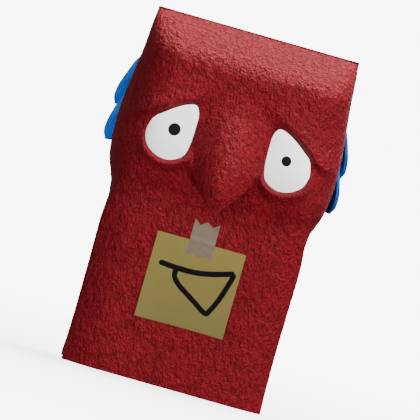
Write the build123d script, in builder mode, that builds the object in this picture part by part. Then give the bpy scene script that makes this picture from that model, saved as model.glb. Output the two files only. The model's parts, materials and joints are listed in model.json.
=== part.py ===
"""A paper bag puppet: a red gusseted bag worn over the hand, closed end up, with a shaped
face, card eyes, a folded nose, curled blue locks behind the head, and a paper mouth that
hangs from a strip of tape.

Millimetres, +Z up. The origin is the middle of the hand opening, in the plane that the
open rim stands on. The face looks along -Y, and left is the -X side, as seen from the front.
"""

import os
from collections import namedtuple
from math import atan2, cos, degrees, radians, sin, tan

from build123d import *

# ---------------------------------------------------------------- driving dimensions
paper = 0.5  # thickness of the bag's embossed paper
puppet_height = 269.0  # open rim to the closed top edge

# Sleeve: the lower bag, a gusseted tube
sleeve_width = 152.0  # side fold to side fold
sleeve_depth = 76.0  # front face to back face
panel_bow = 10.0  # how far the front and back panels curve away at the side folds
panel_flat = 96.0  # width of each panel that stays flat
gusset_tuck = 20.0  # how far each side pleat is pushed in at the open rim
gusset_tuck_at_neck = 4.0  # the pleats open out towards the neck
seam_width = 18.0  # glued lap down the back of the bag

# Neck: where the paper gives when the head nods
neck_height = 138.0  # height of the nod axis
nod_forward = 18.0  # degrees
nod_back = 12.0  # degrees
nod_spare = 2.0  # degrees of extra room between the two rims
sleeve_share_front = 0.72  # share of the front gap that is taken from the sleeve
sleeve_share_back = 0.5  # share of the back gap that is taken from the sleeve
rim_gap = 0.75  # from the nod axis to each rim
band_gap = 0.2  # from the neck band to each rim

# Head: the upper bag, pushed out round
cheek_width = 169.0  # widest point of the head
cheek_front = 42.0  # front of the face, forward of the nod axis
top_width = 154.0  # closed top edge
top_thickness = 3.0  # four layers of paper, glued flat
face_margin = 3.5  # the face and back pieces reach this far past the eye holes
closure_fold_height = 20.0  # glued fold over the back of the top edge

# Eyes
eye_inner = 27.8  # side of each eye hole by the nose, from the middle of the face
eye_outer = 62.5
eye_bottom = 161.4
eye_top = 205.6
eye_lap = 4.0  # how far each eye card laps behind the edge of its hole
card_corner = 5.0
eye_card = 0.5  # thickness of the white card
left_pupil_diameter = 8.9
right_pupil_diameter = 7.2
pupil_thickness = 0.35
pupil_spread = 42.5  # from the middle of the face to each pupil
pupil_height = 184.2

# Nose
nose_top = 208.0  # where the bridge meets the brow
nose_corner_height = 166.0  # where the nose is widest
nose_base_height = 152.0  # where the underside meets the face
nose_tip_height = 136.5
nose_width = 56.0
nose_root = 6.0  # the nose is drawn from this far behind the front of the face
nose_reach = 23.0  # tip, forward of the face

# Mouth: a paper note on a strip of tape
note_width = 67.0
note_height = 64.0
note_thickness = 0.4
note_top = 110.0
note_gap = 0.3  # from the note to the bag
tape_width = 19.0
tape_thickness = 0.2
tape_above = 16.0  # tape stuck to the bag
tape_below = 11.6  # tape stuck to the note
tape_tooth = 2.4  # depth of the torn points at each end
hinge_gap = 0.3  # bare tape between the bag and the note

# Hair: curled foam locks, glued at their roots
lock_length = 44.0
lock_root = 9.0  # flat stretch that is glued down
lock_width = 27.0
lock_root_thickness = 2.4
lock_swell = 4.5  # thickness at the fattest point
lock_bulge = 10.0  # how far the outside of a lock stands off the head
lock_sink = 1.0  # how deep the root is shaped into the curve of the head
lock_pitch = 28.5  # from one lock of the flat back to the next
row_drop = 26.0  # from the upper row to the lower row
left_row_top = 36.0  # below the top edge of the head, at the left end of the upper row
right_row_top = 43.0  # the same, at the right end
corner_angles = (77, 34)  # degrees round from the side, of the locks on each rounded corner
glue_gap = 0.1  # glue line under a lock or a card

clearance = 0.15  # between pieces that lie on one another

# ---------------------------------------------------------------- worked out from them
half_sleeve = sleeve_width / 2
half_depth = sleeve_depth / 2
half_flat = panel_flat / 2
fold_depth = half_depth - panel_bow  # the side folds, from the middle plane
bow_run = half_sleeve - half_flat
bow_radius = (bow_run**2 + panel_bow**2) / (2 * panel_bow)
half_cheek = cheek_width / 2
half_top = top_width / 2
side_split = eye_outer + face_margin
head_height = puppet_height - neck_height
big = 2 * puppet_height  # larger than the puppet in every direction
top_edge = top_thickness / 2

# ---------------------------------------------------------------- head outline
# Each station is one level section of the head: its height, half width, the half width
# that is flat, how far it reaches to the front and to the back of the nod axis, and how
# square its corners are (0.55 is a quarter ellipse, 1 is a sharp corner).
Station = namedtuple("Station", "height half_width half_flat front back square")


def level(share):
    """A height between the nod axis, at 0, and the closed top edge, at 1."""
    return neck_height + share * head_height


head_stations = [
    Station(level(-0.11), half_sleeve, half_flat, half_depth, half_depth, 0.85),
    Station(level(-0.015), half_sleeve + 0.6, half_flat, half_depth + 0.4, half_depth, 0.82),
    Station(level(0.07), half_cheek - 4.0, half_flat, cheek_front - 1.6, half_depth, 0.7),
    Station(level(0.15), half_cheek - 0.8, half_flat, cheek_front - 0.5, half_depth, 0.62),
    Station(level(0.26), half_cheek, half_flat, cheek_front, half_depth, 0.6),
    Station(level(0.38), half_cheek - 0.2, half_flat, cheek_front - 0.4, half_depth, 0.6),
    Station(level(0.53), half_cheek - 1.6, half_flat, cheek_front - 1.2, half_depth, 0.6),
    Station(level(0.68), half_top + 3.4, half_flat, cheek_front - 3.6, half_depth, 0.6),
    Station(level(0.81), half_top + 1.9, half_flat, 0.79 * cheek_front, 0.9 * half_depth, 0.62),
    Station(level(0.91), half_top + 0.9, half_flat, 0.45 * cheek_front, 0.5 * half_depth, 0.66),
    Station(level(1.0), half_top, half_flat, top_edge, top_edge, 0.7),
]


def head_block(inset):
    """The head as a full solid, with its surface moved inwards by inset."""
    with BuildPart() as block:
        for station in head_stations:
            wide, flat = station.half_width - inset, station.half_flat
            front = max(station.front - inset, top_edge / 2)
            back = max(station.back - inset, top_edge / 2)
            bend = flat + station.square * (wide - flat)
            last = station is head_stations[-1]
            height = station.height - (2 * inset if last else 0)
            with BuildSketch(Plane.XY.offset(height)):
                with BuildLine():
                    f, b = station.square * front, station.square * back
                    Line((-flat, -front), (flat, -front))
                    Bezier((flat, -front), (bend, -front), (wide, -f), (wide, 0))
                    Bezier((wide, 0), (wide, b), (bend, back), (flat, back))
                    Line((flat, back), (-flat, back))
                    Bezier((-flat, back), (-bend, back), (-wide, b), (-wide, 0))
                    Bezier((-wide, 0), (-wide, -f), (-bend, -front), (-flat, -front))
                make_face()
        loft()
    return block.part


def layer(outer_inset, inner_inset):
    """The skin of the head between two depths below its surface."""
    with BuildPart() as skin:
        add(head_block(outer_inset))
        add(head_block(inner_inset), mode=Mode.SUBTRACT)
    return skin.part


def side_profile(points):
    """A slab as wide as the puppet, with its outline given in depth and height."""
    with BuildPart() as slab:
        with BuildSketch(Plane.YZ):
            with BuildLine():
                Polyline(*points, close=True)
            make_face()
        extrude(amount=big, both=True)
    return slab.part


# ---------------------------------------------------------------- the zones of each body
def rim_rise(angle, share):
    """How far a rim has moved from the level of the nod axis at the edge of the slab."""
    return big * tan(radians((angle + nod_spare) * share))


sleeve_front_rise = rim_rise(nod_forward, sleeve_share_front)
head_front_rise = rim_rise(nod_forward, 1 - sleeve_share_front)
sleeve_back_rise = rim_rise(nod_back, sleeve_share_back)
head_back_rise = rim_rise(nod_back, 1 - sleeve_share_back)
in_band = rim_gap - band_gap

sleeve_zone = side_profile(
    [
        (-big, neck_height - rim_gap - sleeve_front_rise),
        (0, neck_height - rim_gap),
        (big, neck_height - rim_gap - sleeve_back_rise),
        (big, -big),
        (-big, -big),
    ]
)
head_zone = side_profile(
    [
        (-big, neck_height + rim_gap + head_front_rise),
        (0, neck_height + rim_gap),
        (big, neck_height + rim_gap + head_back_rise),
        (big, big),
        (-big, big),
    ]
)
band_zone = side_profile(
    [
        (-big, neck_height - in_band - sleeve_front_rise),
        (0, neck_height - in_band),
        (big, neck_height - in_band - sleeve_back_rise),
        (big, neck_height + in_band + head_back_rise),
        (0, neck_height + in_band),
        (-big, neck_height + in_band + head_front_rise),
    ]
)


def save(piece, name):
    """Writes one finished piece under its own name."""
    piece.label = name
    export_step(piece, f"parts/{name}.step")


os.makedirs("parts", exist_ok=True)


# ---------------------------------------------------------------- sleeve
def sleeve_block(inset):
    """The sleeve as a full solid, with its surface moved inwards by inset."""
    with BuildPart() as block:
        for height, tuck in ((0, gusset_tuck), (neck_height, gusset_tuck_at_neck)):
            with BuildSketch(Plane.XY.offset(height)):
                with BuildLine():
                    Line((-half_flat, -half_depth), (half_flat, -half_depth))
                    RadiusArc((half_flat, -half_depth), (half_sleeve, -fold_depth), -bow_radius)
                    Polyline(
                        (half_sleeve, -fold_depth),
                        (half_sleeve - tuck, 0),
                        (half_sleeve, fold_depth),
                    )
                    RadiusArc((half_sleeve, fold_depth), (half_flat, half_depth), -bow_radius)
                    Line((half_flat, half_depth), (-half_flat, half_depth))
                    RadiusArc((-half_flat, half_depth), (-half_sleeve, fold_depth), -bow_radius)
                    Polyline(
                        (-half_sleeve, fold_depth),
                        (tuck - half_sleeve, 0),
                        (-half_sleeve, -fold_depth),
                    )
                    RadiusArc((-half_sleeve, -fold_depth), (-half_flat, -half_depth), -bow_radius)
                make_face()
                if inset:
                    offset(amount=-inset, kind=Kind.INTERSECTION, mode=Mode.REPLACE)
        loft(ruled=True)
    return block.part


with BuildPart() as tube:
    add(sleeve_block(0))
    add(sleeve_block(paper), mode=Mode.SUBTRACT)
    add(sleeve_zone, mode=Mode.INTERSECT)

with BuildPart() as sleeve_front_panel:
    add(tube.part)
    split(bisect_by=Plane.XZ.offset(fold_depth), keep=Keep.TOP)
save(sleeve_front_panel.part, "sleeve_front_panel")

with BuildPart() as sleeve_back_panel:
    add(tube.part)
    split(bisect_by=Plane.XZ.offset(-fold_depth), keep=Keep.BOTTOM)
save(sleeve_back_panel.part, "sleeve_back_panel")

for side, name in ((-1, "sleeve_left_gusset"), (1, "sleeve_right_gusset")):
    with BuildPart() as gusset:
        add(tube.part)
        with Locations((side * half_sleeve, 0, puppet_height / 2)):
            Box(2 * (gusset_tuck + 2 * paper), 2 * fold_depth, puppet_height, mode=Mode.INTERSECT)
    save(gusset.part, name)

with BuildPart() as sleeve_back_seam:
    with BuildSketch(Plane.XY.offset(paper)):
        with Locations((0, half_depth + clearance + paper / 2)):
            Rectangle(seam_width, paper)
    extrude(amount=neck_height)
    add(sleeve_zone, mode=Mode.INTERSECT)
save(sleeve_back_seam.part, "sleeve_back_seam")

# ---------------------------------------------------------------- neck
head_shell = layer(0, paper)

with BuildPart() as neck_band:
    add(head_shell)
    add(band_zone, mode=Mode.INTERSECT)
save(neck_band.part, "neck_band")

# ---------------------------------------------------------------- head panels
with BuildPart() as head_paper:
    add(head_shell)
    add(head_zone, mode=Mode.INTERSECT)

for side, name in ((-1, "head_left_side"), (1, "head_right_side")):
    with BuildPart() as cheek:
        add(head_paper.part)
        keep = Keep.TOP if side > 0 else Keep.BOTTOM
        split(bisect_by=Plane.YZ.offset(side * side_split), keep=keep)
    save(cheek.part, name)

# The eye hole, from the top of its inner side round by the nose and the cheek.
eye_width, eye_height = eye_outer - eye_inner, eye_top - eye_bottom
eye_outline = [
    (eye_inner + 0.1 * eye_width, eye_top),
    (eye_inner, eye_top - 0.17 * eye_height),
    (eye_inner + 0.01 * eye_width, eye_top - 0.54 * eye_height),
    (eye_inner + 0.1 * eye_width, eye_bottom + 0.14 * eye_height),
    (eye_inner + 0.43 * eye_width, eye_bottom),
    (eye_inner + 0.8 * eye_width, eye_bottom + 0.09 * eye_height),
    (eye_outer, eye_bottom + 0.37 * eye_height),
    (eye_inner + 0.89 * eye_width, eye_bottom + 0.65 * eye_height),
    (eye_inner + 0.54 * eye_width, eye_bottom + 0.87 * eye_height),
]


with BuildPart() as middle:
    add(head_paper.part)
    Box(2 * side_split, big, big, align=(Align.CENTER, Align.CENTER, Align.MIN), mode=Mode.INTERSECT)

with BuildPart() as head_front_panel:
    add(middle.part)
    split(bisect_by=Plane.XZ, keep=Keep.TOP)
    for side in (-1, 1):
        with BuildSketch(Plane.XZ):
            with BuildLine():
                Spline(*[(side * x, z) for x, z in eye_outline], periodic=True)
            make_face()
        extrude(amount=big, mode=Mode.SUBTRACT)
save(head_front_panel.part, "head_front_panel")

with BuildPart() as head_back_panel:
    add(middle.part)
    split(bisect_by=Plane.XZ, keep=Keep.BOTTOM)
save(head_back_panel.part, "head_back_panel")

# ---------------------------------------------------------------- strips glued on the back
outside = layer(-clearance - paper, -clearance)
closure_base = puppet_height - closure_fold_height

with BuildPart() as closure_fold:
    add(outside)
    with Locations((0, half_depth, closure_base)):
        Box(
            top_width,
            2 * (half_depth - top_thickness),
            closure_fold_height - top_thickness,
            align=(Align.CENTER, Align.CENTER, Align.MIN),
            mode=Mode.INTERSECT,
        )
save(closure_fold.part, "closure_fold")

with BuildPart() as head_back_seam:
    add(outside)
    add(head_zone, mode=Mode.INTERSECT)
    with Locations((0, half_depth, 0)):
        Box(
            seam_width,
            sleeve_depth,
            closure_base - 2 * paper,
            align=(Align.CENTER, Align.CENTER, Align.MIN),
            mode=Mode.INTERSECT,
        )
save(head_back_seam.part, "head_back_seam")

# ---------------------------------------------------------------- eyes
card_face = paper + glue_gap  # the card's front lies this far below the head's surface
pupil_back = card_face - glue_gap / 2
card_layer = layer(card_face, card_face + eye_card)
pupil_layer = layer(pupil_back - pupil_thickness, pupil_back)

for side, name in ((-1, "left_eye_card"), (1, "right_eye_card")):
    with BuildPart() as card:
        with BuildSketch(Plane.XZ):
            with Locations((side * (eye_inner + eye_outer) / 2, (eye_top + eye_bottom) / 2)):
                RectangleRounded(
                    eye_outer - eye_inner + 2 * eye_lap,
                    eye_top - eye_bottom + 2 * eye_lap,
                    card_corner,
                )
        extrude(amount=big)
        add(card_layer, mode=Mode.INTERSECT)
    save(card.part, name)

for side, name, diameter in (
    (-1, "left_pupil", left_pupil_diameter),
    (1, "right_pupil", right_pupil_diameter),
):
    with BuildPart() as pupil:
        with BuildSketch(Plane.XZ):
            with Locations((side * pupil_spread, pupil_height)):
                Circle(diameter / 2)
        extrude(amount=big)
        add(pupil_layer, mode=Mode.INTERSECT)
    save(pupil.part, name)

# ---------------------------------------------------------------- nose
nose_tip_half = 3.0  # blunt end of the folded tip


def nose_block(inset):
    """The folded nose as a full solid: a kite on the face that runs out to a blunt tip."""
    half, tip = nose_width / 2 - inset, nose_tip_half - inset
    with BuildPart() as wedge:
        with BuildSketch(Plane.XZ.offset(cheek_front - nose_root - inset)):
            with BuildLine():
                Polyline(
                    (0, nose_top - 2 * inset),
                    (-half, nose_corner_height),
                    (0, nose_base_height + inset),
                    (half, nose_corner_height),
                    close=True,
                )
            make_face()
        with BuildSketch(Plane.XZ.offset(cheek_front + nose_reach - inset)):
            with BuildLine():
                Polyline(
                    (0, nose_tip_height + nose_tip_half + 2 * tip),
                    (-tip, nose_tip_height + nose_tip_half),
                    (0, nose_tip_height + nose_tip_half - tip),
                    (tip, nose_tip_height + nose_tip_half),
                    close=True,
                )
            make_face()
        loft(ruled=True)
    return wedge.part


with BuildPart() as nose:
    add(nose_block(0))
    add(nose_block(paper), mode=Mode.SUBTRACT)
    add(head_block(-clearance), mode=Mode.SUBTRACT)
save(nose.part, "nose")

# ---------------------------------------------------------------- mouth note and its tape
note_front = half_depth + note_gap + note_thickness

with BuildPart() as mouth_note:
    with BuildSketch(Plane.XZ.offset(half_depth + note_gap)):
        with Locations((0, note_top - note_height / 2)):
            Rectangle(note_width, note_height)
    extrude(amount=note_thickness)
save(mouth_note.part, "mouth_note")

hinge_height = note_top + hinge_gap
half_tape = tape_width / 2

for name, face, start, end, tooth in (
    ("tape_on_bag", half_depth, hinge_height + hinge_gap, note_top + tape_above, tape_tooth),
    ("tape_on_note", note_front, note_top, note_top - tape_below, -tape_tooth),
):
    with BuildPart() as tape:
        with BuildSketch(Plane.XZ.offset(face)):
            with BuildLine():
                Polyline(
                    (-half_tape, start),
                    (-half_tape, end),
                    (-half_tape / 2, end - tooth),
                    (0, end),
                    (half_tape / 2, end - tooth),
                    (half_tape, end),
                    (half_tape, start),
                    close=True,
                )
            make_face()
        extrude(amount=tape_thickness)
    save(tape.part, name)


# ---------------------------------------------------------------- hair
def hair_lock(width):
    """One curled lock, hanging from (0, 0, 0) along -Z, with its glued back at Y = 0."""
    inner = lock_bulge - lock_swell
    with BuildPart() as curl:
        with BuildSketch(Plane.YZ):
            with BuildLine():
                Line((0, -lock_root), (0, 0))
                Line((0, 0), (lock_root_thickness, 0))
                Spline(
                    (lock_root_thickness, 0),
                    (0.3 * lock_bulge, -0.2 * lock_length),
                    (0.76 * lock_bulge, -0.55 * lock_length),
                    (lock_bulge, -0.82 * lock_length),
                    (0.86 * lock_bulge, -0.98 * lock_length),
                )
                Line(
                    (0.86 * lock_bulge, -0.98 * lock_length),
                    (0.66 * lock_bulge, -lock_length),
                )
                Spline(
                    (0.66 * lock_bulge, -lock_length),
                    (inner, -0.82 * lock_length),
                    (0.55 * inner, -0.5 * lock_length),
                    (0, -lock_root),
                )
            make_face()
        extrude(amount=width, both=True)
        with BuildSketch(Plane.XZ) as outline:
            with BuildLine():
                Spline(
                    (0, 0.5),
                    (-0.26 * width, -0.09 * lock_length),
                    (-0.42 * width, -0.4 * lock_length),
                    (-0.5 * width, -0.72 * lock_length),
                    (-0.3 * width, -0.97 * lock_length),
                    (0, -lock_length - 0.5),
                    (0.3 * width, -0.97 * lock_length),
                    (0.5 * width, -0.72 * lock_length),
                    (0.42 * width, -0.4 * lock_length),
                    (0.26 * width, -0.09 * lock_length),
                    periodic=True,
                )
            make_face()
        extrude(amount=width, both=True, mode=Mode.INTERSECT)
    return curl.part


def half_width_at(height):
    """Half the width of the head at a height between two of its stations."""
    for low, high in zip(head_stations, head_stations[1:]):
        if low.height <= height <= high.height:
            share = (height - low.height) / (high.height - low.height)
            return low.half_width + share * (high.half_width - low.half_width)


def lock_seat(column, height):
    """Where a column's lock sits on the head at a height, and the way that it faces."""
    if abs(column) <= 1:
        return column * lock_pitch, half_depth, 90
    side = 1 if column > 0 else -1
    corner = corner_angles[abs(column) - 2]
    out = (half_width_at(height) - half_flat) * cos(radians(corner))
    heading = corner if side > 0 else 180 - corner
    return side * (half_flat + out), half_depth * sin(radians(corner)), heading


def lock_tilt(column, height):
    """How far a lock that hangs from a height leans out, to follow the head below it."""
    if abs(column) <= 1:
        return 0
    out = half_width_at(height - lock_length) - half_width_at(height)
    return degrees(atan2(out * cos(radians(corner_angles[abs(column) - 2])), lock_length))


curl = hair_lock(lock_width)
bare_head = head_block(-glue_gap)
head_with_seam = head_block(-clearance - paper - glue_gap)
for row, drop in (("upper", 0), ("lower", row_drop)):
    for number, column in enumerate(range(-3, 4), start=1):
        below_top = left_row_top + (right_row_top - left_row_top) * (column + 3) / 6
        top = puppet_height - below_top - drop
        x, y, heading = lock_seat(column, top - lock_root / 2)
        stand = clearance + paper if column == 0 else -lock_sink
        spot = (x + stand * cos(radians(heading)), y + stand * sin(radians(heading)), top)
        with BuildPart() as lock:
            with Locations(Location(spot, (0, 0, heading - 90))):
                with Locations(Location((0, 0, 0), (lock_tilt(column, top), 0, 0))):
                    add(curl)
            add(head_with_seam if column == 0 else bare_head, mode=Mode.SUBTRACT)
        save(lock.part, f"hair_lock_{row}_{number}")
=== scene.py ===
"""A paper bag puppet, dressed over its fixed frame.

Everything is in metres, +Z up, with the face towards -Y and the open rim on the floor at Z = 0.
The bag's surface is one function of a column (across) and a height, so that the face, the back
and the body meet edge to edge. The nose, brows and eyelids are pushed out of that surface.
"""

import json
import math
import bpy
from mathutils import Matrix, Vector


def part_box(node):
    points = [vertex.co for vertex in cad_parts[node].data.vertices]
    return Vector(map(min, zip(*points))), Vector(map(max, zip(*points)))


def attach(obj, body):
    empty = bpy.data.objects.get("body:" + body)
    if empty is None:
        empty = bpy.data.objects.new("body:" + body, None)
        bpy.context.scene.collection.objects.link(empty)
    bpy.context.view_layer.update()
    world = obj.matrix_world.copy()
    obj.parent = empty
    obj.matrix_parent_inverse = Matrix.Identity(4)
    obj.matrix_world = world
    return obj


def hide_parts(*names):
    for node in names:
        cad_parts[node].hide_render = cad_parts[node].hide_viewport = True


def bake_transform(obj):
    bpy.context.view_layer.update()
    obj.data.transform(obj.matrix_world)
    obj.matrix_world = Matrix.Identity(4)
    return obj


bl_info = {
    "name": "Paper Bag Puppet",
    "version": (1, 0, 0),
    "blender": (4, 5, 0),
    "location": "View3D > Sidebar > Puppet",
    "description": "Builds a paper bag puppet round its frame, and a plain stage for it",
    "category": "Object",
}

from contextlib import contextmanager

import bpy
import bmesh
import numpy as np
from bpy.props import FloatProperty, FloatVectorProperty, IntProperty, PointerProperty
from mathutils import Matrix, Vector, noise
from mathutils.geometry import delaunay_2d_cdt

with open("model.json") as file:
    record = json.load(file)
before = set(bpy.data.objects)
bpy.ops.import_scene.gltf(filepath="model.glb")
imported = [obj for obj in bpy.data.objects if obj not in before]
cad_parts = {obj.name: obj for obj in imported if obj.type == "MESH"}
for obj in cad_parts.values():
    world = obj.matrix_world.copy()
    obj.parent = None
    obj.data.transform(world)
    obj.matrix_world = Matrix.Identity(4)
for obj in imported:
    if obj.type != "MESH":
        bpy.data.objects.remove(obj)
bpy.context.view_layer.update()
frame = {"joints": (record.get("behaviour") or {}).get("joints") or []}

MM = 0.001

# ---------------------------------------------------------------- places read from the frame
sleeve_low, sleeve_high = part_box("sleeve_front_panel")
face_low, face_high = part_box("head_front_panel")
nose_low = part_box("nose")[0]
card_low, card_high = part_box("right_eye_card")
note_low, note_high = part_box("mouth_note")
tape_low, tape_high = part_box("tape_on_bag")
leaf_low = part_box("tape_on_note")[0]

PUPPET_HEIGHT = face_high[2]
HALF_DEPTH = -sleeve_low[1]
FOLD_DEPTH = -sleeve_high[1]
CHEEK_FRONT = -face_low[1]
NOSE_TIP = (-nose_low[1], nose_low[2])
EYE_LAP = 4 * MM  # how far an eye card reaches past its hole
HAIR = [f"hair_lock_{row}_{n}" for row in ("upper", "lower") for n in range(1, 8)]
PIVOTS = {joint["name"]: joint["pos_m"] for joint in frame["joints"]}
SEAM_TURN = math.radians(50)  # an edge that turns by more than this is left sharp


def smooth(x, low=0.0, high=1.0):
    """0 below low, 1 above high, with a soft turn at each end."""
    t = np.clip((np.asarray(x, float) - low) / (high - low), 0, 1)
    return t * t * (3 - 2 * t)


def bump(x, middle, spread):
    """A bell curve of height 1."""
    return np.exp(-(((np.asarray(x, float) - middle) / spread) ** 2))


def through(x, points):
    """A smooth curve through (x, y) points, with flat ends."""
    px, py = np.array(points, float).T
    slope = np.gradient(py, px)
    slope[0] = slope[-1] = 0
    x = np.clip(np.asarray(x, float), px[0], px[-1])
    i = np.clip(np.searchsorted(px, x, side="right") - 1, 0, len(px) - 2)
    run = px[i + 1] - px[i]
    t = (x - px[i]) / run
    rise = (1 + 2 * t) * (1 - t) ** 2 * py[i] + t * t * (3 - 2 * t) * py[i + 1]
    return rise + run * (t * (1 - t) ** 2 * slope[i] - t * t * (1 - t) * slope[i + 1])


def grain(points, size, seed=0.0):
    """Smooth noise from -1 to 1 at each point, with lumps of about that size."""
    shift = Vector((seed, -seed, 2 * seed))
    return np.array([noise.noise(Vector(p) / size + shift) for p in points])


def wander(values, row, layer):
    """Smooth noise from -1 to 1 along a line of values; row and layer choose the line."""
    return np.array([noise.noise(Vector((v, row, layer))) for v in values])


# ---------------------------------------------------------------- properties
def length_setting(name, text, default, **more):
    return FloatProperty(name=name, description=text, default=default, unit="LENGTH", **more)


def angle_setting(name, text, degrees):
    return FloatProperty(name=name, description=text, default=math.radians(degrees), subtype="ANGLE")


def colour_setting(name, text, default):
    return FloatVectorProperty(name=name, description=text, default=default, subtype="COLOR", size=3)


class BagShape(bpy.types.PropertyGroup):
    spacing: length_setting(
        "Spacing", "Distance between neighbouring points of the paper", 1.0 * MM, min=0.5 * MM
    )
    paper: length_setting("Paper", "Thickness of the paper", 0.5 * MM)
    neck_line: length_setting("Neck Line", "Height of the fold where the face meets the body", 142.0 * MM)
    crinkle: length_setting("Crinkle", "Height of the soft creases in the paper", 0.36 * MM)
    emboss: length_setting("Emboss", "Height of the pebbled grain in the paper", 0.22 * MM)
    red: colour_setting("Red", "Colour of the bag", (0.125, 0.0018, 0.0055))


class FaceShape(bpy.types.PropertyGroup):
    brow: length_setting("Brow", "How far the brows stand over the eyes", 4.6 * MM)
    eyelid: length_setting("Eyelid", "Height of the rolled rim under each eye", 5.4 * MM)
    nose_droop: length_setting(
        "Nose Droop", "How far the tip hangs below where the nose is folded", 20.0 * MM
    )
    eye_white: colour_setting("Eye White", "Colour of the eye cards", (0.97, 0.97, 0.96))
    pupil: colour_setting("Pupil", "Colour of the pupils", (0.004, 0.004, 0.0045))


class MouthShape(bpy.types.PropertyGroup):
    stroke: length_setting("Stroke", "Width of the drawn line", 4.0 * MM)
    curl: length_setting("Curl", "How far the note's free corners stand out", 1.6 * MM)
    note: colour_setting("Note", "Colour of the note", (0.13, 0.099, 0.0065))
    tape: colour_setting("Tape", "Colour of the tape", (0.1, 0.068, 0.043))
    ink: colour_setting("Ink", "Colour of the drawn line", (0.0015, 0.0015, 0.0018))


class HairShape(bpy.types.PropertyGroup):
    length: length_setting("Length", "Length of one lock", 44.0 * MM)
    width: length_setting("Width", "Widest part of one lock", 27.0 * MM)
    bulge: length_setting("Bulge", "How far a lock stands off the head", 10.5 * MM)
    ridges: IntProperty(name="Ridges", description="Ridges round one lock", default=9, min=3)
    top: colour_setting("Root Colour", "Colour where a lock is glued", (0.0, 0.112, 0.22))
    tip: colour_setting("Tip Colour", "Colour of the fat end of a lock", (0.0, 0.069, 0.37))


class StageSetup(bpy.types.PropertyGroup):
    azimuth: angle_setting("Azimuth", "Camera angle round the puppet", -2.5)
    elevation: angle_setting("Elevation", "Camera angle above the horizon", 0.8)
    roll: angle_setting("Roll", "How far the camera is turned on its side", 15.95)
    distance: length_setting("Distance", "From the camera to the puppet", 3.4)
    view_width: length_setting("View Width", "Width of the view where the puppet stands", 308.7 * MM)
    glow: FloatProperty(name="Glow", description="How bright the backdrop shines", default=9.0, min=0.0)
    backdrop: colour_setting("Backdrop", "Colour of the floor and backdrop", (0.92, 0.92, 0.92))


# ---------------------------------------------------------------- materials
def add_node(tree, kind, links=(), **settings):
    """A new node with these settings, and a value or a link on each named input."""
    node = tree.nodes.new(kind)
    for key, value in settings.items():
        setattr(node, key, value)
    for socket, value in dict(links).items():
        target = node.inputs[socket]
        if isinstance(value, bpy.types.NodeSocket):
            tree.links.new(value, target)
        else:
            target.default_value = value
    return node


class Nodes:
    """A small helper to write a material's nodes in short lines."""

    def __init__(self, name, **fixed):
        self.material = bpy.data.materials.new(name)
        self.material.use_nodes = True
        self.tree = self.material.node_tree
        self.shader = self.tree.nodes["Principled BSDF"]
        for socket, value in fixed.items():
            self.shader.inputs[socket.replace("_", " ")].default_value = value
        self.place = self.add("ShaderNodeTexCoord").outputs["Object"]

    def add(self, kind, links=(), **settings):
        return add_node(self.tree, kind, links, **settings)

    def math(self, operation, a, b=0.0):
        return self.add("ShaderNodeMath", {0: a, 1: b}, operation=operation).outputs[0]

    def stretched(self, x, y, z):
        """The object's coordinates, scaled along each axis."""
        return self.add("ShaderNodeMapping", {"Vector": self.place, "Scale": (x, y, z)}).outputs[0]

    def noise(self, size, detail=2.0, roughness=0.5, distortion=0.0, at=None):
        """Noise with lumps of about that size, in metres."""
        links = {
            "Vector": at or self.place, "Scale": 1 / size, "Detail": detail,
            "Roughness": roughness, "Distortion": distortion,
        }
        return self.add("ShaderNodeTexNoise", links).outputs["Fac"]

    def ramp(self, value, low, high, start=0.0, end=1.0):
        links = {"Value": value, "From Min": low, "From Max": high, "To Min": start, "To Max": end}
        return self.add("ShaderNodeMapRange", links).outputs["Result"]

    def mix(self, share, a, b):
        def rgba(c):
            return c if isinstance(c, bpy.types.NodeSocket) else (*c, 1.0)

        return self.add("ShaderNodeMix", {0: share, 6: rgba(a), 7: rgba(b)}, data_type="RGBA").outputs[2]

    def mottled(self, size, detail, a, b):
        """Soft patches of about that size, between two tones."""
        return self.mix(self.ramp(self.noise(size, detail), 0.3, 0.7), a, b)

    def glow(self, colour, strength):
        links = {"Color": (*colour, 1), "Strength": strength}
        return self.add("ShaderNodeEmission", links).outputs[0]

    def surface(self, value):
        self.tree.links.new(value, self.tree.nodes["Material Output"].inputs["Surface"])

    def colour(self, value):
        self.tree.links.new(value, self.shader.inputs["Base Color"])

    def roughness(self, value):
        self.tree.links.new(value, self.shader.inputs["Roughness"])

    def relief(self, *layers):
        """Stacks bump layers, each (height, depth in metres, strength)."""
        normal = None
        for height, depth, strength in layers:
            links = {"Height": height, "Distance": depth, "Strength": strength}
            if normal:
                links["Normal"] = normal
            normal = self.add("ShaderNodeBump", links).outputs["Normal"]
        self.tree.links.new(normal, self.shader.inputs["Normal"])
        return self.material


def shade(colour, factor):
    """A colour made darker or lighter."""
    return tuple(min(1.0, channel * factor) for channel in colour)


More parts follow.
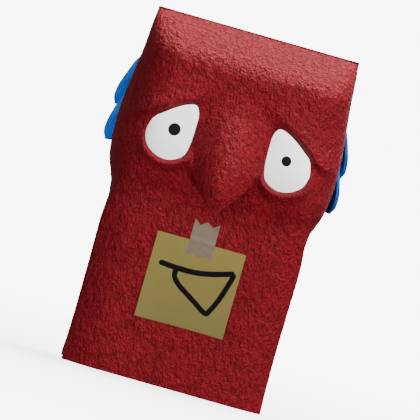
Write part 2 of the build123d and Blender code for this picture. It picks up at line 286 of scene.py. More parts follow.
def bag_paper(red):
    """Heavy red craft paper with a pebbled, wormy grain, and painted shade that darkens its grooves."""
    n = Nodes("Red Embossed Paper", Roughness=0.6, Specular_IOR_Level=0.1)
    drawn = n.stretched(1.0, 1.0, 0.68)
    links = {"Vector": n.place, "Scale": 1 / (5 * MM), "Detail": 2.0}
    warp = n.add("ShaderNodeTexNoise", links).outputs["Color"]
    off = n.add("ShaderNodeVectorMath", {0: warp, 1: (0.5, 0.5, 0.5)}, operation="SUBTRACT").outputs[0]
    off = n.add("ShaderNodeVectorMath", {0: off, "Scale": 4.5 * MM}, operation="SCALE").outputs[0]
    bent = n.add("ShaderNodeVectorMath", {0: drawn, 1: off}, operation="ADD").outputs[0]
    cells = n.add("ShaderNodeTexVoronoi", {"Vector": bent, "Scale": 1 / (2.3 * MM)},
                  feature="DISTANCE_TO_EDGE").outputs["Distance"]
    lump = n.add("ShaderNodeMapRange", {"Value": cells, "From Min": 0.0, "From Max": 0.34},
                 interpolation_type="SMOOTHERSTEP").outputs["Result"]
    swell = n.ramp(n.noise(3.3 * MM, 3.0, 0.55, 0.5, drawn), 0.28, 0.72)
    height = n.math("ADD", n.math("MULTIPLY", lump, 0.22), n.math("MULTIPLY", swell, 0.78))
    fibre = n.noise(0.5 * MM, 4.0, 0.6)
    base = n.mottled(28 * MM, 3.0, shade(red, 0.9), shade(red, 1.1))
    # painted shade: the low parts of the grain are darkened in colour, as shade in its grooves
    groove_shade = n.mix(n.ramp(height, 0.15, 0.5), shade(red, 0.62), base)
    n.colour(n.mix(n.ramp(fibre, 0.6, 0.85, 0.0, 0.2), groove_shade, shade(red, 1.3)))
    n.roughness(n.ramp(height, 0.1, 0.9, 0.72, 0.56))
    return n.relief((height, 1.9 * MM, 1.0), (fibre, 0.04 * MM, 0.5))


def eye_paper(white):
    """Smooth white card."""
    n = Nodes("White Card", Roughness=0.6)
    fibre = n.noise(0.5 * MM, 4.0, 0.6)
    n.colour(n.mottled(14 * MM, 2.0, white, shade(white, 0.96)))
    return n.relief((fibre, 0.03 * MM, 0.4))


def pupil_paper(black):
    """Black paper dots with a faint waxy shine."""
    n = Nodes("Black Dot", Roughness=0.7, Specular_IOR_Level=0.04)
    fibre = n.noise(0.4 * MM, 3.0)
    n.colour(n.mix(fibre, black, shade(black, 1.8)))
    return n.relief((fibre, 0.03 * MM, 0.4))


def note_paper(olive):
    """Olive note paper: fine fibres, soft mottling and faint handling creases, with painted shade that
    darkens it towards its lower edge.
    """
    n = Nodes("Olive Note Paper", Roughness=0.72)
    fibre = n.noise(0.6 * MM, 4.0, 0.65, 0.3, n.stretched(1.0, 1.0, 2.6))
    tone = n.mottled(17 * MM, 3.0, shade(olive, 0.93), shade(olive, 1.06))
    # painted shade: the colour darkens from the note's top edge down to its lower edge, as if its curled
    # foot faced away from the light
    height = n.add("ShaderNodeSeparateXYZ", {"Vector": n.place}).outputs["Z"]
    tone = n.mix(n.ramp(height, note_low[2], note_high[2]), shade(olive, 0.66), tone)
    n.colour(n.mix(n.ramp(fibre, 0.4, 0.75, 0.0, 0.35), tone, shade(olive, 0.78)))
    crease = n.ramp(n.math("ABSOLUTE", n.math("SUBTRACT", n.noise(24 * MM, 1.0, 0.5, 0.5), 0.5)), 0.0, 0.02)
    return n.relief((crease, 0.12 * MM, 0.35), (fibre, 0.06 * MM, 0.5))


def tape_paper(grey):
    """Masking tape: a fine crepe across its length, and a slight shine."""
    n = Nodes("Masking Tape", Roughness=0.5, Specular_IOR_Level=0.45)
    crepe = n.noise(0.8 * MM, 3.0, 0.55, 0.6, n.stretched(0.25, 1.0, 1.0))
    tone = n.mottled(6 * MM, 2.0, shade(grey, 0.92), shade(grey, 1.06))
    n.colour(n.mix(n.ramp(crepe, 0.35, 0.7), shade(grey, 0.84), tone))
    return n.relief((crepe, 0.12 * MM, 0.6))


def marker_ink(black):
    """Felt marker, a little uneven where the paper drank it."""
    n = Nodes("Marker Ink", Roughness=0.6, Specular_IOR_Level=0.03)
    n.colour(n.mix(n.noise(1.2 * MM, 3.0), black, shade(black, 2.6)))
    return n.relief((n.noise(0.5 * MM, 3.0), 0.03 * MM, 0.4))


def lock_foam(root, tip):
    """Satin blue, teal where a lock is glued and deeper blue at its fat end."""
    n = Nodes("Blue Hair", Roughness=0.5, Specular_IOR_Level=0.08)
    along = n.add("ShaderNodeAttribute", attribute_name="along").outputs["Fac"]
    cloud = n.noise(9 * MM, 2.0)
    strands = n.noise(1.3 * MM, 3.0, 0.6, 0.2, n.stretched(1.0, 1.0, 0.12))
    tone = n.mix(n.ramp(n.math("ADD", along, n.ramp(cloud, 0.3, 0.7, -0.15, 0.15)), 0.05, 0.75), root, tip)
    n.colour(n.mix(n.ramp(strands, 0.35, 0.65), shade(tip, 0.55), tone))
    return n.relief((strands, 0.25 * MM, 0.45))


def finish(name, build, *colours):
    """The material of that name, built once."""
    return bpy.data.materials.get(name) or build(*colours)


def red_paper(scene):
    return finish("Red Embossed Paper", bag_paper, tuple(scene.puppet_bag.red))


# ---------------------------------------------------------------- mesh helpers
@contextmanager
def editing(mesh):
    """The mesh opened for changes, which are written back at the end."""
    work = bmesh.new()
    work.from_mesh(mesh)
    yield work
    work.to_mesh(mesh)
    work.free()


def new_object(name, points, faces, material):
    """A mesh object of one material, smooth between its sharp edges."""
    mesh = bpy.data.meshes.new(name)
    mesh.from_pydata([tuple(p) for p in points], [], [tuple(int(i) for i in f) for f in faces])
    mesh.validate()
    mesh.materials.append(material)
    obj = bpy.data.objects.new(name, mesh)
    bpy.context.scene.collection.objects.link(obj)
    sharpen(obj)
    return obj


def sharpen(obj):
    """Smooth shading, with edges that turn a lot left sharp."""
    with editing(obj.data) as work:
        for face in work.faces:
            face.smooth = True
        for edge in work.edges:
            if len(edge.link_faces) == 2:
                edge.smooth = edge.calc_face_angle(0.0) < SEAM_TURN


def thicken(obj, thickness, offset=-1.0):
    """Gives a sheet its thickness, applied to the mesh. Offset -1 grows inwards."""
    wall = obj.modifiers.new("Wall", "SOLIDIFY")
    wall.thickness, wall.offset, wall.use_even_offset = thickness, offset, False
    apply_modifiers(obj)
    sharpen(obj)
    return obj


def apply_modifiers(obj):
    """Turns the modified shape into the object's own mesh."""
    bpy.context.view_layer.update()
    state = bpy.context.evaluated_depsgraph_get()
    mesh = bpy.data.meshes.new_from_object(
        obj.evaluated_get(state), preserve_all_data_layers=True, depsgraph=state
    )
    old, obj.data = obj.data, mesh
    obj.modifiers.clear()
    bpy.data.meshes.remove(old)
    mesh.name = obj.name


def evenly(low, high, step):
    """Values from low to high, about a step apart."""
    return np.linspace(low, high, 1 + round((high - low) / step))


def grid_points(columns, rows):
    """Each column with each row, row by row, as two flat lists."""
    return (a.ravel() for a in np.meshgrid(columns, rows))


def grid_faces(rows, columns, flip=False):
    """Quads of a grid of points that is stored row by row."""
    faces = []
    for r in range(rows - 1):
        for c in range(columns - 1):
            a = r * columns + c
            quad = (a, a + 1, a + columns + 1, a + columns)
            faces.append(quad[::-1] if flip else quad)
    return faces


# ---------------------------------------------------------------- the bag's plain surface
# Each list gives (height, value) pairs up the puppet, in mm, but SQUARE's values are shares.
HALF_WIDTH = [
    (0, 76.1), (10, 75.7), (25, 75.3), (60, 75.2), (100, 75.6), (128, 76.0), (138, 77.0), (143, 78.6),
    (149, 81.0), (157, 83.0), (168, 84.3), (184, 84.5), (200, 83.7), (218, 81.6), (238, 79.4),
    (256, 78.2), (269, 77.0),
]
FRONT = [
    (0, 38.0), (60, 37.6), (110, 37.8), (130, 37.3), (138, 37.9), (146, 39.8), (158, 41.4), (174, 42.0),
    (192, 41.5), (208, 41.1), (218, 41.0), (228, 40.8), (235, 40.1), (240, 38.6), (245, 35.4), (250, 30.4),
    (256, 22.4), (262, 12.8), (269, 0.05),
]
BACK = [
    (0, 38.0), (60, 37.7), (128, 37.6), (150, 37.9), (200, 38.0), (232, 37.8), (240, 36.6), (246, 32.6),
    (251, 26.6), (260, 13.8), (269, 0.05),
]
SQUARE = [(0, 0.86), (128, 0.86), (146, 0.72), (165, 0.61), (230, 0.6), (250, 0.66), (269, 0.72)]
TUCK = [(0, 20.0), (60, 15.0), (118, 7.0), (142, 3.0), (269, 2.0)]
FLAT_HALF = 48 * MM  # half the width of the flat middle of the front and back
FOLD_SHARE = 0.7  # the share of a quarter of the girth that lies before the side fold
HALF_GIRTH = 112 * MM  # from the middle of the front or back to the middle of a side
CREASES = (26 * MM, 11 * MM)  # sizes of the large and the small soft creases
PEBBLE = 2.9 * MM  # size of the pebbled grain


def lengths_along(path):
    """The length of a polyline from its start to each of its points."""
    return np.r_[0, np.cumsum(np.hypot(*np.diff(path, axis=0).T))]


def along_path(path, shares):
    """Points at the given shares of a polyline's length."""
    steps = lengths_along(path)
    at = np.asarray(shares) * steps[-1]
    return np.c_[np.interp(at, steps, path[:, 0]), np.interp(at, steps, path[:, 1])]


def tucked_section(half, depth, tuck, shares):
    """A quarter of the gusseted section, from the middle of a panel to the pleat's tip."""
    turn = np.linspace(0, 1, 15)
    fold_back = (HALF_DEPTH - FOLD_DEPTH) * (depth / HALF_DEPTH)
    bow = np.c_[FLAT_HALF + (half - FLAT_HALF) * turn, depth - fold_back * turn**2]
    panel = np.r_[[[0.0, depth]], bow]
    pleat = np.array([bow[-1], [half - tuck, 0.0]])
    first = along_path(panel, np.clip(shares / FOLD_SHARE, 0, 1))
    second = along_path(pleat, np.clip((shares - FOLD_SHARE) / (1 - FOLD_SHARE), 0, 1))
    return np.where((shares <= FOLD_SHARE)[:, None], first, second)


def round_section(half, depth, square, shares):
    """A quarter of the rounded section, from the middle of a panel to the middle of the side."""
    t = np.linspace(0, 1, 40)[:, None]
    bend = FLAT_HALF + square * (half - FLAT_HALF)
    corners = np.array([(FLAT_HALF, depth), (bend, depth), (half, square * depth), (half, 0.0)])
    weights = np.c_[(1 - t) ** 3, 3 * t * (1 - t) ** 2, 3 * t * t * (1 - t), t**3]
    return along_path(np.r_[[[0.0, depth]], weights @ corners], shares)


class Surface:
    """The bag's plain front or back, as a table of points that can be read anywhere."""

    def __init__(self, depth_list, side):
        self.heights = np.linspace(0, PUPPET_HEIGHT, 270)
        self.shares = np.linspace(0, 1, 161)
        mm_height = self.heights / MM
        half = through(mm_height, HALF_WIDTH) * MM
        depth = through(mm_height, depth_list) * MM
        square, tuck = through(mm_height, SQUARE), through(mm_height, TUCK) * MM
        rounding = smooth(self.heights, 104 * MM, 150 * MM)
        table = []
        for row in range(len(self.heights)):
            tucked = tucked_section(half[row], depth[row], tuck[row], self.shares)
            rounded = round_section(half[row], depth[row], square[row], self.shares)
            table.append((1 - rounding[row]) * tucked + rounding[row] * rounded)
        self.table, self.side = np.array(table), side

    def at(self, u, height):
        """Points at a distance u across from the middle, and at a height."""
        u, height = np.broadcast_arrays(np.asarray(u, float), np.asarray(height, float))
        c = np.clip(np.abs(u) / HALF_GIRTH, 0, 1) * (len(self.shares) - 1)
        r = np.clip(height / PUPPET_HEIGHT, 0, 1) * (len(self.heights) - 1)
        c0 = np.minimum(c.astype(int), len(self.shares) - 2)
        r0 = np.minimum(r.astype(int), len(self.heights) - 2)
        fc, fr = (c - c0)[..., None], (r - r0)[..., None]
        t = self.table
        low = t[r0, c0] * (1 - fc) + t[r0, c0 + 1] * fc
        high = t[r0 + 1, c0] * (1 - fc) + t[r0 + 1, c0 + 1] * fc
        xy = low * (1 - fr) + high * fr
        return np.stack([np.sign(u) * xy[..., 0], self.side * xy[..., 1], height], axis=-1)

    def outward(self, u, height):
        """The outward normal there."""
        step = 1.5 * MM
        across = self.at(u + step, height) - self.at(u - step, height)
        up = self.at(u, height + step) - self.at(u, height - step)
        normal = np.cross(across, up)
        normal /= np.maximum(np.linalg.norm(normal, axis=-1, keepdims=True), 1e-9)
        return normal * -self.side

    def across(self, x, height):
        """The distance u at which the surface is x from the middle, at a height."""
        u = np.linspace(0, FOLD_SHARE * HALF_GIRTH, 200)
        found = [np.interp(abs(a), self.at(u, b)[:, 0], u) for a, b in zip(x, height)]
        return np.sign(x) * np.array(found)


FRONT_SURFACE = Surface(FRONT, -1)
BACK_SURFACE = Surface(BACK, 1)


def bag_columns(bag):
    """Columns of points right across the bag, one of them in the middle."""
    return np.linspace(-HALF_GIRTH, HALF_GIRTH, 1 + 2 * round(HALF_GIRTH / bag.spacing))


def at_folds(u):
    """0 on the side folds, where the front and back sheets meet, and 1 a little way in."""
    return smooth(HALF_GIRTH - np.abs(u), 0, 3 * MM)


def creased(points, normals, bag, free=1.0, calm=0.0):
    """Soft creases and the pebbled grain, along the normals: none where free is 0 or calm is 1."""
    height = points[:, 2]
    large, small = CREASES
    soft = 0.6 * grain(points, large, 3.1) + 0.4 * grain(points * [1, 1, 1.7], small, 7.7)
    near_neck = 0.4 + 1.3 * bump(height, PIVOTS["head_nod"][2], 20 * MM)
    worms = 1 - 2 * np.abs(grain(points, PEBBLE, 1.3))
    move = bag.crinkle * soft * near_neck + bag.emboss * (worms - 0.5)
    edge = smooth(height, 0, 6 * MM) * smooth(PUPPET_HEIGHT - height, 0, 10 * MM)
    move = move * edge * free
    sunk = calm * 0.15 * MM
    move = move * (1 - calm) - sunk
    return points + normals * move[:, None]


# ---------------------------------------------------------------- the face
def eye_outline(side, steps=120):
    """The closed outline of an eye hole as (x, height), anticlockwise seen from the front."""
    inner, outer = card_low[0] + EYE_LAP, card_high[0] - EYE_LAP
    bottom, top = card_low[2] + EYE_LAP, card_high[2] - EYE_LAP
    wide, tall = outer - inner, top - bottom
    shares = [
        (0.1, 0.99), (0.01, 0.86), (0.0, 0.69), (0.005, 0.51), (0.02, 0.33), (0.08, 0.15), (0.24, 0.045),
        (0.45, 0.0), (0.7, 0.045), (0.905, 0.17), (0.99, 0.35), (0.965, 0.51), (0.885, 0.645),
        (0.725, 0.745), (0.54, 0.857), (0.29, 0.968),
    ]
    knots = [Vector((inner + a * wide, bottom + b * tall, 0)) for a, b in shares]
    line = []
    count = len(knots)
    for i in range(steps):
        at = i * count / steps
        k, t = int(at), at % 1
        a, b, c, d = (knots[(k + j - 1) % count] for j in range(4))
        p = 0.5 * (
            2 * b + (c - a) * t + (2 * a - 5 * b + 4 * c - d) * t * t + (3 * b - a - 3 * c + d) * t**3
        )
        line.append((p.x, p.y))
    line = np.array(line)
    return line if side > 0 else line[::-1] * [-1, 1]


def distance_to(points, outline):
    """Distance from each 2-D point to a closed outline, negative inside it."""
    ends = np.roll(outline, -1, axis=0)
    best = np.full(len(points), 1e9)
    inside = np.zeros(len(points), bool)
    for a, b in zip(outline, ends):
        edge = b - a
        t = np.clip(((points - a) @ edge) / max(edge @ edge, 1e-18), 0, 1)
        best = np.minimum(best, np.hypot(*(points - a - t[:, None] * edge).T))
        crosses = (a[1] > points[:, 1]) != (b[1] > points[:, 1])
        with np.errstate(divide="ignore", invalid="ignore"):
            x = a[0] + (points[:, 1] - a[1]) * (b[0] - a[0]) / (b[1] - a[1])
        inside ^= crosses & (points[:, 0] < x)
    return np.where(inside, -best, best)


def grown(outline, amount):
    """An outline moved outwards, evenly."""
    ahead, behind = np.roll(outline, -1, axis=0), np.roll(outline, 1, axis=0)
    run = ahead - behind
    normal = np.c_[run[:, 1], -run[:, 0]] / np.maximum(np.hypot(*run.T), 1e-12)[:, None]
    area = np.sum(outline[:, 0] * ahead[:, 1] - ahead[:, 0] * outline[:, 1])
    return outline + normal * amount * np.sign(area)


class Nose:
    """The long drooping nose: a ridge down the middle, folded back under a V-shaped edge."""

    half_width = 26.5 * MM
    corner = 166 * MM  # height of the upper ends of the V-shaped edge
    band = 10 * MM  # height of the paper that is folded back under that edge
    tip_drop = 3.2 * MM  # the seen tip hangs this far below the frame's

    def __init__(self, droop):
        self.reach, self.tip = NOSE_TIP[0], NOSE_TIP[1] - self.tip_drop
        self.droop = droop

    def share(self, x):
        return np.clip(np.abs(x) / self.half_width, 0, 1)

    def edge(self, x):
        """Height of the V-shaped edge as it is seen."""
        return self.tip + (self.corner - self.tip) * self.share(x) ** 1.45

    def sag(self, x):
        return self.droop * (1 - self.share(x) ** 1.3)

    def fold(self, x):
        """Height of that edge on the flat paper, before it droops."""
        return self.edge(x) + self.sag(x)

    def ridge(self, height):
        """How far the ridge stands out at a height."""
        reach = (self.reach - CHEEK_FRONT) / MM
        return MM * through(height / MM, [
            (132, reach), (141, reach), (152, 0.93 * reach), (164, 0.8 * reach), (180, 0.6 * reach),
            (194, 0.4 * reach), (206, 0.19 * reach), (214, 0.06 * reach), (222, 0.0),
        ])

    def swell(self, x, height):
        """How far the nose stands out at a point."""
        half = MM * through(height / MM, [
            (135, 26.5), (166, 27.2), (184, 27.0), (200, 25.5), (210, 23), (222, 20)
        ])
        s = np.clip(np.abs(x) / half, 0, 1)
        rounded, pinched = 0.72 * np.cos(0.5 * np.pi * s) ** 1.15, 0.28 * (1 - s) ** 1.4 * (1 + s)
        return self.ridge(height) * (rounded + pinched)

    def place(self, x, height):
        """(how far out, new height) for paper that starts at x and height."""
        fold, edge = self.fold(x), self.edge(x)
        pull = 1 - smooth(height, fold, fold + 36 * MM)
        above = height - self.sag(x) * pull
        under = np.clip((fold - height) / self.band, 0, 1)
        land = fold - self.band
        seen = np.where(height >= fold, above, np.where(under < 1, edge + (land - edge) * under, height))
        out = np.where(height >= fold, self.swell(x, above), self.swell(x, edge) * (1 - under) ** 1.25)
        return np.where(self.share(x) < 1, out, 0), np.where(self.share(x) < 1, seen, height)


def left_brow(x):
    """1 over the outer end of the left brow, which bulges more than the right one, and 0 away from it."""
    return bump(x, -67 * MM, 12 * MM)


def brow_line(x):
    """Lower edge of the brow at a distance from the middle, as a height."""
    line = MM * through(np.abs(x) / MM, [
        (0, 214), (20, 211), (31, 206.5), (40, 203.5), (50, 197.5), (60, 189), (66, 184),
        (74, 180.5), (86, 180),
    ])
    return line + 4.5 * MM * left_brow(x)


def face_relief(x, height, eyes, face):
    """How far the brows and the eyelids stand out at points of the face."""
    flat = np.c_[x, height]
    move = np.zeros(len(x))
    above = height - brow_line(x)
    swell = face.brow * through(np.abs(x) / MM, [
        (0, 0.1), (16, 0.15), (26, 0.3), (36, 0.85), (45, 1.0), (58, 1.15), (68, 1.15), (78, 0.7), (88, 0.3)
    ])
    soft = MM * through(np.abs(x) / MM, [
        (0, 9.0), (24, 6.0), (34, 3.2), (62, 3.0), (70, 3.4), (78, 5.0), (88, 8.0)
    ])
    swell = swell * (1 + 0.35 * left_brow(x))
    rise = np.clip((above + 0.4 * soft) / (2 * soft), 0, 1)
    move += swell * rise * rise * (3 - 2 * rise) * np.exp(-((np.maximum(above, 0) / (17 * MM)) ** 2))
    for outline in eyes:
        away = distance_to(flat, outline)
        middle = outline.mean(axis=0)
        side = np.sign(middle[0])
        angle = np.arctan2(height - middle[1], (x - middle[0]) * side)
        below = smooth(-np.sin(angle), 0.1 + 0.4 * smooth(-np.cos(angle)), 0.8)
        inner_corner = bump(angle, -2.2, 0.55)
        crest = MM * (1.0 + 2.4 * below)
        rim = face.eyelid * below * (0.8 + 0.5 * inner_corner)
        past = np.maximum(away - crest, 0)
        rim = rim * (0.3 * np.exp(-((past / (11 * MM)) ** 2)) + 0.7 * np.exp(-((past / (3.6 * MM)) ** 2)))
        rim = rim * smooth(away, -0.6 * MM, crest)
        turned_in = (-0.5 * MM - move) * np.exp(-((np.maximum(away, 0) / (0.9 * MM)) ** 2))
        move += rim + turned_in
    cheek = 1.4 * MM * bump(np.abs(x), 58 * MM, 17 * MM) * bump(height, 158 * MM, 12 * MM)
    return move + cheek


def face_points(u, height, face, eyes, bag):
    """The finished place of each point of the face, from its place on the flat paper."""
    nose = Nose(face.nose_droop)
    x = FRONT_SURFACE.at(u, height)[:, 0]
    out, seen = nose.place(x, height)
    base = FRONT_SURFACE.at(u, seen)
    normals = FRONT_SURFACE.outward(u, seen)
    on_nose = smooth(out, 0.5 * MM, 4 * MM)
    side = smooth(HALF_GIRTH - np.abs(u), 0, 18 * MM) * smooth(PUPPET_HEIGHT - height, 0, 20 * MM)
    move = face_relief(x, height, eyes, face) * (1 - 0.85 * on_nose) * side
    fade = smooth(height, bag.neck_line, bag.neck_line + 4 * MM)
    ahead = np.array([0.0, -1.0, 0.0])
    points = base + ahead * (out + move * fade)[:, None]
    lean = normals * (1 - on_nose[:, None]) + ahead * on_nose[:, None]
    near_eye = np.minimum(*(distance_to(np.c_[x, height], outline) for outline in eyes))
    calm = np.exp(-((np.maximum(near_eye, 0) / (2.0 * MM)) ** 2))
    return creased(points, lean, bag, at_folds(u), 0.8 * calm)


HOLE_RINGS = (0.0, 0.5, 1.1, 1.8, 2.6, 3.5, 4.5)  # rings of points round an eye hole, in mm
HOLE_CLEAR = 5.2 * MM  # the plain grid stops this far from an eye hole


class PUPPET_OT_face(bpy.types.Operator):
    """Builds the face: the front of the head, with its eye holes, brows, eyelids and nose"""

    bl_idname = "puppet.face"
    bl_label = "Face"

    def execute(self, context):
        bag, face = context.scene.puppet_bag, context.scene.puppet_face
        eyes = [eye_outline(side) for side in (-1, 1)]
        flat_eyes = [np.c_[FRONT_SURFACE.across(*line.T), line[:, 1]] for line in eyes]
        rows = evenly(bag.neck_line, PUPPET_HEIGHT, bag.spacing)
        grid = np.stack(np.meshgrid(bag_columns(bag), rows), axis=-1).reshape(-1, 2)
        keep = np.ones(len(grid), bool)
        extra, edges = [], []

        nose = Nose(face.nose_droop)
        x = np.linspace(-nose.half_width, nose.half_width, 75)
        gap = 0.55 * MM
        keep &= ~((np.abs(grid[:, 0]) < nose.half_width)
                  & (np.abs(grid[:, 1] - nose.fold(grid[:, 0])) < 2 * gap))
        for below in (-gap, 0.0, gap):
            start = len(extra)
            extra += [(a, b) for a, b in zip(x, nose.fold(x) - below)]
            if below == 0:
                edges += [(start + i, start + i + 1) for i in range(len(x) - 1)]
        for outline in flat_eyes:
            near = distance_to(grid, outline)
            keep &= near > HOLE_CLEAR
            for ring, amount in enumerate(HOLE_RINGS):
                start, count = len(extra), len(outline)
                extra += [tuple(p) for p in grown(outline, amount * MM)]
                if ring == 0:
                    edges += [(start + i, start + (i + 1) % count) for i in range(count)]
        kept = [tuple(p) for p in grid[keep]]
        first = len(kept)
        flat = [Vector(p) for p in kept + extra]
        pairs = [(first + a, first + b) for a, b in edges]
        points, _, faces, *_ = delaunay_2d_cdt(flat, pairs, [], 0, 1e-7)
        points = np.array([tuple(p) for p in points])
        faces = np.array([f for f in faces if len(f) == 3])
        middles = points[faces].mean(axis=1)
        for outline in flat_eyes:
            outside = distance_to(middles, outline) > 0
            faces, middles = faces[outside], middles[outside]
        shaped = face_points(points[:, 0], points[:, 1], face, eyes, bag)
        obj = new_object("face", shaped, faces, red_paper(context.scene))
        thicken(obj, bag.paper)
        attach(obj, "head")
        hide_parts("head_front_panel", "nose")
        return {"FINISHED"}


def bag_sheet(surface, name, low, high, bag, material, calm=None):
    """A plain sheet of the bag between two heights, from side to side."""
    columns, rows = bag_columns(bag), evenly(low, high, bag.spacing)
    u, height = grid_points(columns, rows)
    points = surface.at(u, height)
    quiet = calm(points) if calm else 0.0
    points = creased(points, surface.outward(u, height), bag, at_folds(u), quiet)
    faces = grid_faces(len(rows), len(columns), flip=surface.side > 0)
    return thicken(new_object(name, points, faces, material), bag.paper)


def behind_note(points):
    """1 behind the note and its tape, where the bag lies flat, and 0 away from them."""
    x, height = np.abs(points[:, 0]), points[:, 2]
    margin, fade = 9 * MM, 7 * MM
    within = smooth(note_high[0] + margin - x, 0, fade)
    over_foot = smooth(height, note_low[2] - margin, note_low[2] - 2 * MM)
    return within * over_foot * smooth(tape_high[2] + margin - height, 0, fade)


class PUPPET_OT_bag(bpy.types.Operator):
    """Builds the body of the bag and the back of the head"""

    bl_idname = "puppet.bag"
    bl_label = "Bag"

    def execute(self, context):
        bag, red = context.scene.puppet_bag, red_paper(context.scene)
        front = bag_sheet(FRONT_SURFACE, "body_front", 0, bag.neck_line, bag, red, behind_note)
        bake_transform(front)
        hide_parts("sleeve_front_panel", "neck_band")
        back = bag_sheet(BACK_SURFACE, "body_back", 0, bag.neck_line, bag, red)
        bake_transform(back)
        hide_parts("sleeve_back_panel", "sleeve_left_gusset", "sleeve_right_gusset")
        head = bag_sheet(BACK_SURFACE, "head_back", bag.neck_line, PUPPET_HEIGHT, bag, red)
        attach(head, "head")
        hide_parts("head_back_panel", "head_left_side", "head_right_side")
        return {"FINISHED"}


def back_strip(name, half, low, high, bag, material, waver=0.0):
    """A glued strip of paper down or across the back, half wide from the middle."""
    step = 1.2 * MM
    columns = np.linspace(-half, half, 1 + 2 * math.ceil(half / step))
    rows = np.linspace(0, 1, 2 + math.ceil((high - low) / step))
    u, share = grid_points(columns, rows)
    edge = wander(u / (9 * MM), 0.0, 5.0)
    height = low + waver * edge * (1 - share) + (high - low) * share
    normals = BACK_SURFACE.outward(u, height)
    points = BACK_SURFACE.at(u, height)
    points = creased(points, normals, bag) + normals * (bag.paper + 0.12 * MM)
    faces = grid_faces(len(rows), len(columns), flip=True)
    return thicken(new_object(name, points, faces, material), bag.paper)


class PUPPET_OT_laps(bpy.types.Operator):
    """Builds the glued laps down the back and the fold glued over the closed top"""

    bl_idname = "puppet.laps"
    bl_label = "Glued Laps"

    def execute(self, context):
        bag, red = context.scene.puppet_bag, red_paper(context.scene)
        seam_low, seam_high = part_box("sleeve_back_seam")
        upper_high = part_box("head_back_seam")[1]
        fold_low, fold_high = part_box("closure_fold")
        seam = back_strip("body_lap", seam_high[0], seam_low[2], bag.neck_line, bag, red)
        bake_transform(seam)
        upper = back_strip("head_lap", upper_high[0], bag.neck_line, upper_high[2], bag, red)
        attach(upper, "head")
        half = FRONT_SURFACE.across(np.array([fold_high[0] - 1 * MM]), np.array([fold_low[2]]))[0]
        fold = back_strip("top_fold", half, fold_low[2], PUPPET_HEIGHT - 1 * MM, bag, red, 1.2 * MM)
        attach(fold, "head")
        for obj, node in ((seam, "sleeve_back_seam"), (upper, "head_back_seam"), (fold, "closure_fold")):
            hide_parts(node)
        return {"FINISHED"}


# ---------------------------------------------------------------- eyes
def eye_depth(away):
    """How far the white card lies behind the paper's plain surface; it is domed in the middle."""
    return 1.0 * MM - 2.0 * MM * (1 - np.exp(-np.maximum(-away, 0) / (7 * MM)))


def on_front(u, height, depth):
    """Points that lie a depth behind the plain front of the bag."""
    return FRONT_SURFACE.at(u, height) + np.outer(depth, (0.0, 1.0, 0.0))


class PUPPET_OT_eyes(bpy.types.Operator):
    """Builds the domed white eye cards and their pupils"""

    bl_idname = "puppet.eyes"
    bl_label = "Eyes"

    def execute(self, context):
        face = context.scene.puppet_face
        white = finish("White Card", eye_paper, tuple(face.eye_white))
        black = finish("Black Dot", pupil_paper, tuple(face.pupil))
        for side, name in ((-1, "left"), (1, "right")):
            outline = eye_outline(side)
            flat = np.c_[FRONT_SURFACE.across(*outline.T), outline[:, 1]]
            rim = grown(flat, 2.6 * MM)
            low, high = rim.min(axis=0), rim.max(axis=0)
            step = 1.3 * MM
            grid = np.meshgrid(*(np.arange(a, b, step) for a, b in zip(low, high)))
            grid = np.stack(grid, -1).reshape(-1, 2)
            grid = grid[distance_to(grid, rim) < -0.5 * step]
            flat_points = [Vector(p) for p in rim] + [Vector(p) for p in grid]
            edges = [(i, (i + 1) % len(rim)) for i in range(len(rim))]
            points, _, faces, *_ = delaunay_2d_cdt(flat_points, edges, [], 1, 1e-7)
            points = np.array([tuple(p) for p in points])
            away = distance_to(points, flat)
            card = new_object(f"{name}_eye", on_front(*points.T, eye_depth(away)), faces, white)
            thicken(card, 0.4 * MM)
            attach(card, "head")
            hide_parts(f"{name}_eye_card")

            dot_low, dot_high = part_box(f"{name}_pupil")
            x, z = (dot_low[0] + dot_high[0]) / 2, (dot_low[2] + dot_high[2]) / 2
            middle = np.array([FRONT_SURFACE.across(np.array([x]), np.array([z]))[0], z])
            radius = 1.05 * (dot_high[0] - dot_low[0]) / 2
            rings, spokes = 7, 40
            disc = [middle]
            for ring in range(1, rings + 1):
                reach = radius * math.sin(0.5 * math.pi * ring / rings)
                turn = 2 * np.pi * np.arange(spokes) / spokes
                disc += list(middle + reach * np.c_[np.cos(turn), np.sin(turn)])
            disc = np.array(disc)
            rise = np.sqrt(np.maximum(0, 1 - (np.hypot(*(disc - middle).T) / radius) ** 2))
            depth = eye_depth(distance_to(disc, flat)) - 0.1 * MM - 0.6 * MM * rise**0.5
            dot_faces = [(0, 1 + i, 1 + (i + 1) % spokes) for i in range(spokes)]
            for ring in range(rings - 1):
                a, b = 1 + ring * spokes, 1 + (ring + 1) * spokes
                nexts = [(i + 1) % spokes for i in range(spokes)]
                dot_faces += [(a + i, b + i, b + j, a + j) for i, j in enumerate(nexts)]
            dot = new_object(f"{name}_dot", on_front(*disc.T, depth), dot_faces, black)
            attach(dot, "head")
            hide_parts(f"{name}_pupil")
        return {"FINISHED"}


# ---------------------------------------------------------------- mouth
def note_depth(x, height, curl):
    """How far forward of the middle plane the back of the note lies, curled at its free corners."""
    across = np.abs(x) / note_high[0]
    down = np.clip((note_high[2] - height) / (note_high[2] - note_low[2]), 0, 1)
    lift = curl * (0.75 * across**3 * down**1.5 + 0.35 * down**2.5)
    ripple = 0.22 * MM * down * (1 + np.sin(x / (9 * MM) + 0.7))
    return -note_high[1] + lift + ripple


